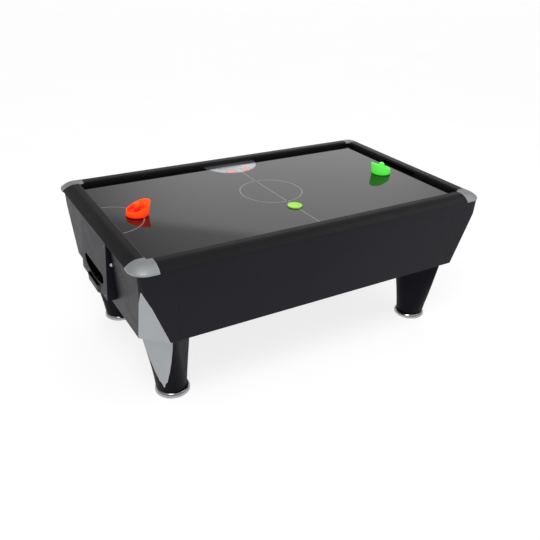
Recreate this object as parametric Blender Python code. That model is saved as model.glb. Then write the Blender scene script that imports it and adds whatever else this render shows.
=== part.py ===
"""Air hockey table for two players, 7 ft size, standing on four levelling feet.

Metres, +Z up. X runs along the table, Y across it, and the origin is on the floor under the
middle of the playfield. Front is -Y, back is +Y, left is -X and right is +X.
"""

from math import cos, pi, radians, sin

import bmesh
import bpy
from mathutils import Matrix, Vector

# ---- driving dimensions -------------------------------------------------------------------
GAP = 0.0003            # clearance left between touching pieces

RAIL_LENGTH = 2.140     # over the outer edges of the end rails
RAIL_SPAN = 1.280       # over the outer edges of the side rails
RAIL_TOP = 0.852        # top of the rails above the floor
RAIL_WIDTH = 0.102
RAIL_NOSE = 0.012       # radius of the nose that overhangs the field
RAIL_SLOPE = 0.066      # width of the rounded slope from the flat top down to the outer edge
RAIL_EDGE = 0.0025      # height of the outer edge under the slope
NOSE_REACH = 0.0217     # how far the nose overhangs the rebound strip
CAP_START_X, CAP_START_Y = 0.945, 0.525   # where the corner caps begin on the rails
CAP_PROUD = 0.001
CAP_RADIUS = 0.084      # plan radius of the cap's rim
CAP_RIM_Z = 0.8145
CAP_BEAD = 0.0035       # height of the upright rim under the cap's slope

CABINET_TOP = 0.820
CABINET_BOTTOM = 0.425
TOP_X, TOP_Y = 1.045, 0.629         # half size of the cabinet at its top
BOTTOM_X, BOTTOM_Y = 1.016, 0.617   # half size of the cabinet at its bottom
CORNER_RADIUS = 0.026
BOARD = 0.018           # thickness of the cabinet boards
SEAM_X, SEAM_Y = 0.855, 0.430       # where the panels meet the corner posts
POST_EDGE = 0.030       # thickness of a corner post at its seams

FLASH_TOP_Z = 0.781     # where the silver corner facet would run out on a sharp corner
FLASH_REACH_X, FLASH_REACH_Y = 0.120, 0.111  # how far the facet reaches at the cabinet's bottom
FLASH_THICK = 0.0015
FLASH_TIP_Z = 0.738     # sharp tip of the silver plate, below the facet's own rounded top
FLASH_SPREAD_Z, FLASH_SPREAD = 0.650, 0.030  # height where the tip has this half width

FOOT_X, FOOT_Y = 0.815, 0.415
LEG_END_X, LEG_END_Y, LEG_END_RADIUS = 0.820, 0.412, 0.081
LEG_TOP_X, LEG_TOP_Y = 0.844, 0.428          # centre of the leg's top section
LEG_TOP_HALF_DEPTH, LEG_TOP_HALF_WIDTH = 0.163, 0.093   # along and across the corner diagonal
LEG_TOP_RADIUS = 0.075
LEG_TAPER = 1.2         # above 1 the leg widens faster near its top
LEG_FACET_ANGLE = 45.1  # direction the leg's silver facet faces, from +X
LEG_FACET_LOW, LEG_FACET_HIGH = 0.0832, 0.1493   # its distance from the foot's axis, low and high
FOOT_RADIUS, FOOT_HEIGHT = 0.092, 0.026
STEM_RADIUS, STEM_TOP = 0.010, 0.080

FIELD_Z = 0.826         # playing surface
FIELD_THICK = 0.019
FIELD_X, FIELD_Y = 0.9892, 0.5592   # half size of the field board
SCORE_RADIUS = 0.178    # half round score panel at the middle of the back rail
PANEL_EDGE_Y = 0.5400   # straight edge of the score panel
PANEL_THICK = 0.004
DIGIT_X, DIGIT_Y = 0.052, 0.400                 # middle of a lit score window
DIGIT_HALF_X, DIGIT_HALF_Y = 0.025, 0.017
LAMP_BOARD_X = 0.080    # half length of the lamp board under the windows
LAMP_BOARD_LOW, LAMP_BOARD_HIGH = 0.0115, 0.0085   # its faces below the field surface
STRIP_DEPTH = 0.0185    # rebound strip between the field and the rail nose
NOSE_Z = RAIL_TOP - RAIL_NOSE   # underside of the rail nose
GOAL_TOP = 0.8370       # underside of the rails over the goal mouth
GOAL_BACK_X = 1.0260    # back of the hollow under the end rail
DROP_X = 0.9725         # edge of the field where a scored puck falls
GOAL_HALF = 0.150       # half width of the goal mouth
PUCK_RADIUS, PUCK_THICK = 0.04125, 0.007
PUCK_PLACE = (0.0, -0.260)

HOUSING_HALF = 0.215    # half width of the puck return housing
HOUSING_TOP, HOUSING_BOTTOM = 0.8195, 0.485
HOUSING_TOP_X, HOUSING_BOTTOM_X = 1.0597, 1.068
HOUSING_WALL = 0.004
RETURN_HALF, RETURN_TOP, RETURN_LOW = 0.160, 0.602, 0.530
TRAY_HALF, TRAY_TOP, TRAY_BOTTOM, TRAY_X = 0.095, 0.514, 0.462, 1.080
BUTTON_Y, BUTTON_Z, BUTTON_RADIUS = 0.243, 0.700, 0.010

BLOWER_X, BLOWER_Y = 0.0, 0.250
BLOWER_RADIUS, DUCT_RADIUS, INTAKE_RADIUS = 0.125, 0.060, 0.080

SOCKET_X, SOCKET_Y = 0.550, 0.450
SOCKET_HALF_X, SOCKET_HALF_Y = 0.031, 0.013
ROCKER_TILT = 8         # degrees the rocker leans to either side of level

MALLET_RADIUS, MALLET_KNOB, MALLET_GUARD = 0.060, 0.0705, 0.075   # base, then heights
MALLET_WALL = 0.032     # height of the wall behind the hand
MALLET_FLARE = 0.014    # how far the guard leans out past the wall
MALLET_LEFT = (-0.814, 0.006)
MALLET_RIGHT = (0.797, -0.034)

CORNERS = {"front_left": (-1, -1), "front_right": (1, -1), "back_left": (-1, 1), "back_right": (1, 1)}


# ---- materials ----------------------------------------------------------------------------
def make_material(name, colour, roughness, metallic):
    material = bpy.data.materials.new(name)
    material.use_nodes = True
    shader = material.node_tree.nodes["Principled BSDF"]
    shader.inputs["Base Color"].default_value = (*colour, 1.0)
    shader.inputs["Roughness"].default_value = roughness
    shader.inputs["Metallic"].default_value = metallic
    return material


FINISHES = {
    "cabinet_black": ((0.030, 0.029, 0.034), 0.45, 0.0),
    "rail_black": ((0.022, 0.022, 0.024), 0.40, 0.0),
    "satin_silver": ((0.62, 0.64, 0.65), 0.30, 1.0),
    "silver_laminate": ((0.46, 0.48, 0.50), 0.38, 0.3),
    "chrome": ((0.80, 0.80, 0.82), 0.08, 1.0),
    "field_gloss": ((0.035, 0.035, 0.038), 0.06, 0.0),
    "score_grey": ((0.30, 0.31, 0.33), 0.25, 0.2),
    "led_red": ((0.75, 0.03, 0.02), 0.30, 0.0),
    "black_plastic": ((0.012, 0.012, 0.013), 0.35, 0.0),
    "inner_board": ((0.30, 0.22, 0.14), 0.70, 0.0),
    "galvanised": ((0.55, 0.56, 0.58), 0.40, 1.0),
    "motor_grey": ((0.20, 0.21, 0.23), 0.45, 0.6),
    "mallet_orange": ((1.00, 0.16, 0.01), 0.35, 0.0),
    "mallet_green": ((0.10, 0.85, 0.08), 0.35, 0.0),
    "puck_lime": ((0.55, 0.90, 0.12), 0.35, 0.0),
}


# ---- modelling helpers --------------------------------------------------------------------
def add_node(name, bm, material, origin=(0.0, 0.0, 0.0), sharp_angle=40.0):
    """Turn a bmesh in world coordinates into one named object whose origin is given."""
    bmesh.ops.remove_doubles(bm, verts=bm.verts, dist=1e-6)
    bmesh.ops.recalc_face_normals(bm, faces=bm.faces)
    bmesh.ops.translate(bm, verts=bm.verts, vec=-Vector(origin))
    mesh = bpy.data.meshes.new(name)
    bm.to_mesh(mesh)
    bm.free()
    mesh.shade_smooth()
    mesh.set_sharp_from_angle(angle=radians(sharp_angle))
    if material:
        mesh.materials.append(material)
    obj = bpy.data.objects.new(name, mesh)
    bpy.context.scene.collection.objects.link(obj)
    obj.location = origin
    return obj


def carve(obj, tool_bm, operation="DIFFERENCE"):
    """Cut a tool shape out of an object, or join it on, and keep the result as plain mesh."""
    tool = add_node(obj.name + "_tool", tool_bm, None)
    modifier = obj.modifiers.new("carve", "BOOLEAN")
    modifier.object = tool
    modifier.operation = operation
    modifier.solver = "EXACT"
    depsgraph = bpy.context.evaluated_depsgraph_get()
    before = obj.data
    result = bpy.data.meshes.new_from_object(obj.evaluated_get(depsgraph))
    obj.modifiers.clear()
    obj.data = result
    bpy.data.meshes.remove(before)
    tool_mesh = tool.data
    bpy.data.objects.remove(tool)
    bpy.data.meshes.remove(tool_mesh)
    return obj


def loft(loops, bm=None):
    """Skin a row of loops with equal point counts and close both ends."""
    bm = bm or bmesh.new()
    rings = [[bm.verts.new(point) for point in loop] for loop in loops]
    for lower, upper in zip(rings, rings[1:]):
        for i in range(len(lower)):
            j = (i + 1) % len(lower)
            bm.faces.new((lower[i], lower[j], upper[j], upper[i]))
    bm.faces.new(rings[0][::-1])
    bm.faces.new(rings[-1])
    return bm


def prism(outline, low, high, axis="Z", bm=None):
    """Extrude a closed 2D outline along an axis. Outline pairs are the other two axes in order."""
    place = {
        "X": lambda a, b, c: (c, a, b),
        "Y": lambda a, b, c: (a, c, b),
        "Z": lambda a, b, c: (a, b, c),
    }[axis]
    return loft([[place(a, b, c) for a, b in outline] for c in (low, high)], bm)


def block(x0, x1, y0, y1, z0, z1, bm=None):
    return prism([(x0, y0), (x1, y0), (x1, y1), (x0, y1)], z0, z1, bm=bm)


def arc(cx, cy, radius, start, end, steps):
    """Points along an arc, angles in degrees, both ends included."""
    angles = [radians(start + (end - start) * i / steps) for i in range(steps + 1)]
    return [(cx + radius * cos(a), cy + radius * sin(a)) for a in angles]


def turned(profile, centre, steps, bm=None):
    """Solid of revolution about Z. Profile rows are (radius, z) from the axis to the axis."""
    bm = bm or bmesh.new()
    cx, cy = centre
    rings = []
    for radius, z in profile:
        if radius == 0.0:
            rings.append([bm.verts.new((cx, cy, z))] * steps)
        else:
            rings.append([bm.verts.new((x, y, z)) for x, y in arc(cx, cy, radius, 0, 360, steps)[:-1]])
    for lower, upper in zip(rings, rings[1:]):
        for i in range(steps):
            j = (i + 1) % steps
            corners = list(dict.fromkeys((lower[i], lower[j], upper[j], upper[i])))
            bm.faces.new(corners)
    return bm


def turned_ring(profile, centre, steps):
    """Solid of revolution from a closed (radius, z) outline that stays off the axis."""
    bm = bmesh.new()
    cx, cy = centre
    rings = [[bm.verts.new((x, y, z)) for x, y in arc(cx, cy, radius, 0, 360, steps)[:-1]]
             for radius, z in profile]
    for lower, upper in zip(rings, rings[1:] + rings[:1]):
        for i in range(steps):
            j = (i + 1) % steps
            bm.faces.new((lower[i], lower[j], upper[j], upper[i]))
    return bm


def mirrored(bm, sx, sy):
    """Move a shape that was built in the back right quarter to another quarter."""
    for vert in bm.verts:
        vert.co.x *= sx
        vert.co.y *= sy
    return bm


def keep_side(bm, point, normal):
    """Cut a closed shape with a plane, keep what lies behind the normal, and close the cut."""
    geometry = bm.verts[:] + bm.edges[:] + bm.faces[:]
    cut = bmesh.ops.bisect_plane(
        bm, geom=geometry, dist=1e-7, plane_co=point, plane_no=normal, clear_outer=True)
    edges = [item for item in cut["geom_cut"] if isinstance(item, bmesh.types.BMEdge)]
    bmesh.ops.contextual_create(bm, geom=edges)
    return bm


# ---- shared curves ------------------------------------------------------------------------
def cabinet_half(z):
    """Half length and half width of the cabinet's outer faces at a height."""
    part = (z - CABINET_BOTTOM) / (CABINET_TOP - CABINET_BOTTOM)
    return BOTTOM_X + (TOP_X - BOTTOM_X) * part, BOTTOM_Y + (TOP_Y - BOTTOM_Y) * part


def housing_x(z):
    """Outer face of the puck return housing at a height."""
    part = (z - HOUSING_BOTTOM) / (HOUSING_TOP - HOUSING_BOTTOM)
    return HOUSING_BOTTOM_X + (HOUSING_TOP_X - HOUSING_BOTTOM_X) * part


# ---- cabinet ------------------------------------------------------------------------------
def side_panel(name, sy, material):
    loops = []
    for z in (CABINET_BOTTOM, CABINET_TOP):
        outer = cabinet_half(z)[1]
        inner = outer - BOARD
        x = SEAM_X - GAP
        loops.append([(-x, inner * sy, z), (x, inner * sy, z), (x, outer * sy, z), (-x, outer * sy, z)])
    return add_node(name, loft(loops), material)


def end_panel(name, sx, material):
    loops = []
    for z in (CABINET_BOTTOM, CABINET_TOP):
        outer = cabinet_half(z)[0]
        inner = outer - BOARD
        y = SEAM_Y - GAP
        loops.append([(inner * sx, -y, z), (outer * sx, -y, z), (outer * sx, y, z), (inner * sx, y, z)])
    panel = add_node(name, loft(loops), material)
    slot = block(0.95, 1.10, -GOAL_HALF, GOAL_HALF, RETURN_LOW, RETURN_TOP + 0.006)
    carve(panel, mirrored(slot, sx, 1))
    x = cabinet_half(BUTTON_Z)[0]
    hole = prism(arc(sx * BUTTON_Y, BUTTON_Z, 0.0065, 0, 360, 24)[:-1], x - 0.05, x + 0.05, "X")
    carve(panel, mirrored(hole, sx, 1))
    return panel


def post_outline(z):
    """Plan of a corner post at a height, in the back right quarter."""
    x, y = cabinet_half(z)
    outline = [(SEAM_X, y - POST_EDGE), (x - POST_EDGE, SEAM_Y), (x, SEAM_Y)]
    outline += arc(x - CORNER_RADIUS, y - CORNER_RADIUS, CORNER_RADIUS, 0, 90, 12)
    outline.append((SEAM_X, y))
    return outline


def post_solid():
    return loft([[(x, y, z) for x, y in post_outline(z)] for z in (CABINET_BOTTOM, CABINET_TOP)])


def post_facet():
    x, y = cabinet_half(FLASH_TOP_Z)
    apex = Vector((x, y, FLASH_TOP_Z))
    end_x = Vector((BOTTOM_X - FLASH_REACH_X, BOTTOM_Y, CABINET_BOTTOM))
    end_y = Vector((BOTTOM_X, BOTTOM_Y - FLASH_REACH_Y, CABINET_BOTTOM))
    normal = (apex - end_y).cross(end_x - end_y).normalized()
    return end_y, normal if normal.x > 0 else -normal


def facet_middle(plane, z):
    """Point at a height where the corner's diagonal meets the facet."""
    point, normal = plane
    corner = Vector((*cabinet_half(z), z))
    depth = normal.dot(corner - point) / (normal.x + normal.y)
    return corner - Vector((depth, depth, 0.0))


def tip_planes():
    """Two planes that trim the silver plate to a sharp tip: a point and the normal of what goes."""
    plane = post_facet()
    level = plane[1].cross(Vector((0.0, 0.0, 1.0))).normalized()
    tip, middle = facet_middle(plane, FLASH_TIP_Z), facet_middle(plane, FLASH_SPREAD_Z)
    planes = []
    for side in (-1, 1):
        away = (middle + level * FLASH_SPREAD * side - tip).cross(plane[1]).normalized()
        planes.append((tip, away if away.dot(level) * side > 0 else -away))
    return planes


def leg_solid():
    """Leg that changes from a rounded oblong set across the corner to a circle over its foot."""
    top_z, bottom_z = CABINET_BOTTOM - GAP, FOOT_HEIGHT + GAP
    steps, rows = 7, 6
    top, bottom = [], []
    for quarter in range(4):
        start = 90 * quarter
        along = (1, -1, -1, 1)[quarter] * (LEG_TOP_HALF_DEPTH - LEG_TOP_RADIUS)
        across = (1, 1, -1, -1)[quarter] * (LEG_TOP_HALF_WIDTH - LEG_TOP_RADIUS)
        top += arc(along, across, LEG_TOP_RADIUS, start, start + 90, steps)
        bottom += arc(0.0, 0.0, LEG_END_RADIUS, start + 1, start + 89, steps)
    turn = cos(pi / 4)
    top = [(LEG_TOP_X + turn * (a - c), LEG_TOP_Y + turn * (a + c)) for a, c in top]
    bottom = [(LEG_END_X + turn * (a - c), LEG_END_Y + turn * (a + c)) for a, c in bottom]
    loops = []
    for row in range(rows + 1):
        share = row / rows
        z = bottom_z + (top_z - bottom_z) * share
        blend = share ** LEG_TAPER
        loops.append([(b[0] + (t[0] - b[0]) * blend, b[1] + (t[1] - b[1]) * blend, z)
                      for t, b in zip(top, bottom)])
    return loft(loops)


def leg_facet():
    """Plane of the leg's silver facet, as a point on it and its outward normal."""
    across = Vector((cos(radians(LEG_FACET_ANGLE)), sin(radians(LEG_FACET_ANGLE)), 0.0))
    foot = Vector((FOOT_X, FOOT_Y, FOOT_HEIGHT))
    low = foot + across * LEG_FACET_LOW
    high = foot + across * LEG_FACET_HIGH + Vector((0.0, 0.0, CABINET_BOTTOM - FOOT_HEIGHT))
    level = Vector((-across.y, across.x, 0.0))
    normal = level.cross(high - low).normalized()
    return low, normal if normal.x > 0 else -normal


def faceted_pair(names, solid, plane, corner, materials, trims=()):
    """A corner piece with its outer corner cut off, and the silver plate that covers the cut."""
    point, normal = plane
    body = add_node(names[0], mirrored(keep_side(solid(), point, normal), *corner), materials[0])
    plate = keep_side(solid(), point + normal * (GAP + FLASH_THICK), normal)
    plate = keep_side(plate, point + normal * GAP, -normal)
    for trim_point, away in trims:
        keep_side(plate, trim_point, away)
    add_node(names[1], mirrored(plate, *corner), materials[1])
    return body


def base_panel(material):
    """Cabinet floor, notched round the corner posts, with the blower intake and socket holes."""
    x, y = BOTTOM_X - BOARD - 0.0005, BOTTOM_Y - BOARD - 0.0005
    notch = [(SEAM_X - 0.0005, y), (SEAM_X - 0.0005, BOTTOM_Y - POST_EDGE - 0.0008),
             (BOTTOM_X - POST_EDGE - 0.0008, SEAM_Y - 0.0005), (x, SEAM_Y - 0.0005)]
    quarter_turns = [(1, 1, notch), (1, -1, notch[::-1]), (-1, -1, notch), (-1, 1, notch[::-1])]
    outline = [(px * sx, py * sy) for sx, sy, points in quarter_turns for px, py in points]
    low = CABINET_BOTTOM + GAP
    panel = add_node("base_panel", prism(outline, low, low + BOARD), material)
    under, over = low - BOARD, low + 2 * BOARD
    carve(panel, prism(arc(BLOWER_X, BLOWER_Y, INTAKE_RADIUS, 0, 360, 40)[:-1], under, over))
    half_x, half_y = SOCKET_HALF_X + 0.0005, SOCKET_HALF_Y + 0.0005
    hole = block(SOCKET_X - half_x, SOCKET_X + half_x, SOCKET_Y - half_y, SOCKET_Y + half_y, under, over)
    carve(panel, hole)
    return panel


def support_frame(material):
    """Two cross beams and a stretcher that carry the air chamber between the side panels."""
    beam_x, half, reach = 0.450, 0.020, 0.6060
    outline = [(-beam_x - half, -reach), (-beam_x + half, -reach), (-beam_x + half, -half),
               (beam_x - half, -half), (beam_x - half, -reach), (beam_x + half, -reach),
               (beam_x + half, reach), (beam_x - half, reach), (beam_x - half, half),
               (-beam_x + half, half), (-beam_x + half, reach), (-beam_x - half, reach)]
    return add_node("support_frame", prism(outline, 0.690, 0.7265), material)


# ---- rails and corner caps ----------------------------------------------------------------
def rail_profile():
    """Section of a rail: distance in from its outer edge, then height."""
    edge_z = CABINET_TOP + GAP + RAIL_EDGE
    drop = RAIL_TOP - edge_z
    slope_steps = 7
    profile = [(0.0, CABINET_TOP + GAP)]
    for i in range(slope_steps + 1):
        along = i / slope_steps
        profile.append((RAIL_SLOPE * along, edge_z + drop * (1 - (1 - along) ** 2)))
    profile += arc(RAIL_WIDTH - RAIL_NOSE, NOSE_Z, RAIL_NOSE, 90, 0, 6)
    return profile


def rail_section():
    """Whole closed section of a rail, with the step that clears the rebound strip."""
    step = RAIL_WIDTH - NOSE_REACH
    return rail_profile() + [(step, NOSE_Z), (step, CABINET_TOP + GAP)]


def side_rail(name, sy, material):
    edge = RAIL_SPAN / 2
    outline = [(sy * (edge - u), z) for u, z in rail_section()]
    return add_node(name, prism(outline, GAP - CAP_START_X, CAP_START_X - GAP, "X"), material)


def end_rail(name, sx, material):
    """End rail, hollowed from below over the goal so that the puck passes under it."""
    edge = RAIL_LENGTH / 2
    outline = [(edge - u, z) for u, z in rail_section()]
    rail = add_node(name, prism(outline, GAP - CAP_START_Y, CAP_START_Y - GAP, "Y"), material)
    carve(rail, block(0.980, GOAL_BACK_X, -GOAL_HALF, GOAL_HALF, 0.80, GOAL_TOP))
    mirror_mesh_x(rail, sx)
    return rail


def corner_cap(name, corner, material):
    """Cap over a rail corner: the rail's section swept round the corner, down to a rim."""
    edge_x, edge_y = RAIL_LENGTH / 2 + CAP_PROUD, RAIL_SPAN / 2 + CAP_PROUD
    section = [(0.0, CAP_RIM_Z), (0.0, CAP_RIM_Z + CAP_BEAD)]
    section += [(u + CAP_PROUD, z + CAP_PROUD) for u, z in rail_profile()[1:]]
    section.append((RAIL_WIDTH + CAP_PROUD, NOSE_Z - GAP))
    bm = bmesh.new()
    rows = []
    for u, z in section:
        x, y, radius = edge_x - u, edge_y - u, max(CAP_RADIUS - u, 0.0)
        plan = [(x, CAP_START_Y)] + arc(x - radius, y - radius, radius, 0, 90, 12) + [(CAP_START_X, y)]
        rows.append([bm.verts.new((px, py, z)) for px, py in plan])
    for lower, upper in zip(rows, rows[1:]):
        for i in range(len(lower) - 1):
            bm.faces.new((lower[i], lower[i + 1], upper[i + 1], upper[i]))
    under = [bm.verts.new((vert.co.x, vert.co.y, CAP_RIM_Z)) for vert in rows[-1]]
    for i in range(len(under) - 1):
        bm.faces.new((rows[-1][i], rows[-1][i + 1], under[i + 1], under[i]))
        bm.faces.new((under[i], under[i + 1], rows[0][i + 1], rows[0][i]))
    bm.faces.new([row[0] for row in rows] + [under[0]])
    bm.faces.new([row[-1] for row in rows][::-1] + [under[-1]])
    bmesh.ops.remove_doubles(bm, verts=bm.verts, dist=1e-6)
    bmesh.ops.dissolve_degenerate(bm, edges=bm.edges, dist=1e-6)
    cap = add_node(name, mirrored(bm, *corner), material)
    post_x, post_y = TOP_X + GAP, TOP_Y + GAP
    outline = [(0.3, 0.3), (post_x, 0.3)]
    outline += arc(post_x - CORNER_RADIUS, post_y - CORNER_RADIUS, CORNER_RADIUS, 0, 90, 8)
    outline.append((0.3, post_y))
    carve(cap, mirrored(prism(outline, 0.70, CABINET_TOP + GAP), *corner))
    pocket = block(0.3, FIELD_X + 2 * GAP, 0.3, FIELD_Y + 2 * GAP, 0.70, NOSE_Z)
    carve(cap, mirrored(pocket, *corner))
    return cap


def rebound_strips(material):
    """Hard strips that the puck bounces off, under the rail noses, with a goal slot at each end."""
    low, high = FIELD_Z + GAP, NOSE_Z - GAP
    inner_x, inner_y = FIELD_X + GAP - STRIP_DEPTH, FIELD_Y + GAP - STRIP_DEPTH
    for name, sy in (("rebound_strip_front", -1), ("rebound_strip_back", 1)):
        strip = block(-inner_x + GAP, inner_x - GAP, inner_y, FIELD_Y + GAP, low, high)
        add_node(name, mirrored(strip, 1, sy), material)
    outline = [(-FIELD_Y, low), (-GOAL_HALF, low), (-GOAL_HALF, GOAL_TOP), (GOAL_HALF, GOAL_TOP),
               (GOAL_HALF, low), (FIELD_Y, low), (FIELD_Y, high), (-FIELD_Y, high)]
    for name, sx in (("rebound_strip_left", -1), ("rebound_strip_right", 1)):
        strip = prism(outline, inner_x, FIELD_X + GAP, "X")
        add_node(name, mirrored(strip, sx, 1), material)


# ---- field, air supply and score ----------------------------------------------------------
def half_disc(radius, edge_y):
    return arc(0.0, edge_y, radius, 180, 360, 32)


def playfield(material):
    bottom = FIELD_Z - FIELD_THICK
    field = add_node("playfield", block(-FIELD_X, FIELD_X, -FIELD_Y, FIELD_Y, bottom, FIELD_Z), material)
    carve(field, prism(half_disc(SCORE_RADIUS, PANEL_EDGE_Y), FIELD_Z - PANEL_THICK - GAP, FIELD_Z + 0.01))
    carve(field, block(-0.083, 0.083, DIGIT_Y - 0.020, DIGIT_Y + 0.020, FIELD_Z - 0.012, FIELD_Z))
    for sx in (-1, 1):
        drop = block(DROP_X, FIELD_X + 0.02, -GOAL_HALF, GOAL_HALF, bottom - 0.01, FIELD_Z + 0.01)
        carve(field, mirrored(drop, sx, 1))
    return field


def score_panel(material):
    outline = half_disc(SCORE_RADIUS - 2 * GAP, PANEL_EDGE_Y - GAP)
    panel = add_node("score_panel", prism(outline, FIELD_Z - PANEL_THICK, FIELD_Z), material)
    for sx in (-1, 1):
        x = DIGIT_X * sx
        window = block(x - DIGIT_HALF_X - GAP, x + DIGIT_HALF_X + GAP,
                       DIGIT_Y - DIGIT_HALF_Y - GAP, DIGIT_Y + DIGIT_HALF_Y + GAP, 0.80, 0.84)
        carve(panel, window)
    return panel


def score_digits(material):
    """One lamp board with a raised red window for each player's score."""
    low, high, face = FIELD_Z - LAMP_BOARD_LOW, FIELD_Z - LAMP_BOARD_HIGH, FIELD_Z - GAP
    end, left, right = LAMP_BOARD_X, DIGIT_X - DIGIT_HALF_X, DIGIT_X + DIGIT_HALF_X
    outline = [(-end, low), (end, low), (end, high), (right, high), (right, face), (left, face),
               (left, high), (-left, high), (-left, face), (-right, face), (-right, high), (-end, high)]
    board = prism(outline, DIGIT_Y - DIGIT_HALF_Y, DIGIT_Y + DIGIT_HALF_Y, "Y")
    return add_node("score_digits", board, material)


def clipped_rectangle(x, y, clip):
    """Rectangle with its four corners cut off, so that it clears the corner posts."""
    return [(-x + clip, -y), (x - clip, -y), (x, -y + clip), (x, y - clip),
            (x - clip, y), (-x + clip, y), (-x, y - clip), (-x, -y + clip)]


def air_chamber(material):
    """Shallow tray that holds the pressurised air under the field."""
    x, y, wall, low, high = 0.945, 0.530, 0.012, 0.727, FIELD_Z - FIELD_THICK - GAP
    tray = add_node("air_chamber", prism(clipped_rectangle(x, y, 0.080), low, high), material)
    carve(tray, prism(clipped_rectangle(x - wall, y - wall, 0.080), low + 0.008, high + 0.02))
    duct = DUCT_RADIUS + 0.003
    carve(tray, block(BLOWER_X - duct, BLOWER_X + duct, BLOWER_Y - duct, BLOWER_Y + duct, 0.70, low + 0.02))
    return tray


def blower(materials):
    centre = (BLOWER_X, BLOWER_Y)
    low, shoulder, neck, high = CABINET_BOTTOM + 2 * GAP + BOARD, 0.575, 0.600, 0.7265
    wall = 0.003
    outer, duct = BLOWER_RADIUS, DUCT_RADIUS + wall
    profile = [(outer, low), (outer, shoulder), (duct, neck), (duct, high), (duct - wall, high),
               (duct - wall, neck - wall), (outer - wall, shoulder - wall), (outer - wall, low + wall),
               (INTAKE_RADIUS, low + wall), (INTAKE_RADIUS, low)]
    add_node("blower_housing", turned_ring(profile, centre, 40), materials["galvanised"])

    body = [(0.0, 0.519), (0.004, 0.519), (0.004, 0.531), (0.034, 0.533), (0.036, 0.537),
            (0.036, 0.566), (0.030, 0.574), (0.0, 0.574)]
    motor = add_node("blower_motor", turned(body, centre, 28), materials["motor_grey"])
    for turn in range(3):
        reach = outer - wall - 0.001
        arm = prism([(0.030, -0.006), (reach, -0.006), (reach, 0.006), (0.030, 0.006)], 0.548, 0.554)
        bmesh.ops.rotate(arm, verts=arm.verts, matrix=rotation_z(120 * turn))
        bmesh.ops.translate(arm, verts=arm.verts, vec=(BLOWER_X, BLOWER_Y, 0.0))
        carve(motor, arm, "UNION")

    vanes = 12
    outline = []
    for i in range(vanes):
        middle = 360 * i / vanes
        for angle, radius in ((-9, 0.024), (-1.6, 0.074), (1.6, 0.074), (9, 0.024)):
            outline.append((BLOWER_X + radius * cos(radians(middle + angle)),
                            BLOWER_Y + radius * sin(radians(middle + angle))))
    impeller = add_node("blower_impeller", prism(outline, 0.470, 0.520), materials["galvanised"],
                        (BLOWER_X, BLOWER_Y, 0.470), 30)
    carve(impeller, prism(arc(BLOWER_X, BLOWER_Y, 0.0045, 0, 360, 20)[:-1], 0.515, 0.53))

    guard_z = CABINET_BOTTOM - 0.003
    disc = [(0.0, guard_z), (0.094, guard_z), (0.094, CABINET_BOTTOM), (0.0, CABINET_BOTTOM)]
    guard = add_node("intake_guard", turned(disc, centre, 40), materials["black_plastic"])
    slots = bmesh.new()
    for inner, outer_edge in ((0.016, 0.036), (0.041, 0.057), (0.062, 0.077)):
        for i in range(8):
            start, end = 45 * i + 4, 45 * i + 41
            outline = arc(BLOWER_X, BLOWER_Y, inner, start, end, 3)
            outline += arc(BLOWER_X, BLOWER_Y, outer_edge, end, start, 5)
            prism(outline, guard_z - 0.01, CABINET_BOTTOM + 0.01, bm=slots)
    carve(guard, slots)


def rotation_z(degrees):
    return Matrix.Rotation(radians(degrees), 3, "Z")


def power_inlet(materials):
    """Mains socket and rocker switch, both facing down through the cabinet floor."""
    x, y, top = SOCKET_X, SOCKET_Y, 0.460
    face = CABINET_BOTTOM - 0.0028
    half_x, half_y = SOCKET_HALF_X, SOCKET_HALF_Y
    shell = block(x - half_x, x + half_x, y - half_y, y + half_y, CABINET_BOTTOM - 0.001, top)
    socket = add_node("power_socket", shell, materials["black_plastic"])
    half_x, half_y = half_x + 0.006, half_y + 0.006
    carve(socket, block(x - half_x, x + half_x, y - half_y, y + half_y, face, CABINET_BOTTOM), "UNION")
    carve(socket, block(x - 0.026, x + 0.004, y - 0.010, y + 0.010, face - 0.01, 0.445))
    carve(socket, block(x + 0.0095, x + 0.0265, y - 0.0085, y + 0.0085, face - 0.01, 0.440))
    pivot_z, half, ridge = face + 0.0035, 0.0074, 0.0048
    wing = ridge - half * sin(radians(2 * ROCKER_TILT))
    shape = [(-half, -wing), (0.0, -ridge), (half, -wing), (half * 0.7, 0.004), (-half * 0.7, 0.004)]
    c, d = cos(radians(ROCKER_TILT)), sin(radians(ROCKER_TILT))
    outline = [(y + a * c - b * d, pivot_z + a * d + b * c) for a, b in shape]
    add_node("power_rocker", prism(outline, x + 0.0103, x + 0.0257, "X"), materials["led_red"],
             (x + 0.018, y, pivot_z))


# ---- puck return at each end --------------------------------------------------------------
def return_opening():
    """Outline (y, z) of the return opening: level top, bowed bottom."""
    middle = RETURN_TOP - 0.026
    outline = arc(-RETURN_HALF + 0.026, middle, 0.026, 180, 90, 4)
    outline += arc(RETURN_HALF - 0.026, middle, 0.026, 90, 0, 4)
    depth = middle - RETURN_LOW
    outline += [(RETURN_HALF * cos(a), middle - depth * sin(a) ** 0.8)
                for a in (pi * i / 16 for i in range(1, 16))]
    return outline


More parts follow.
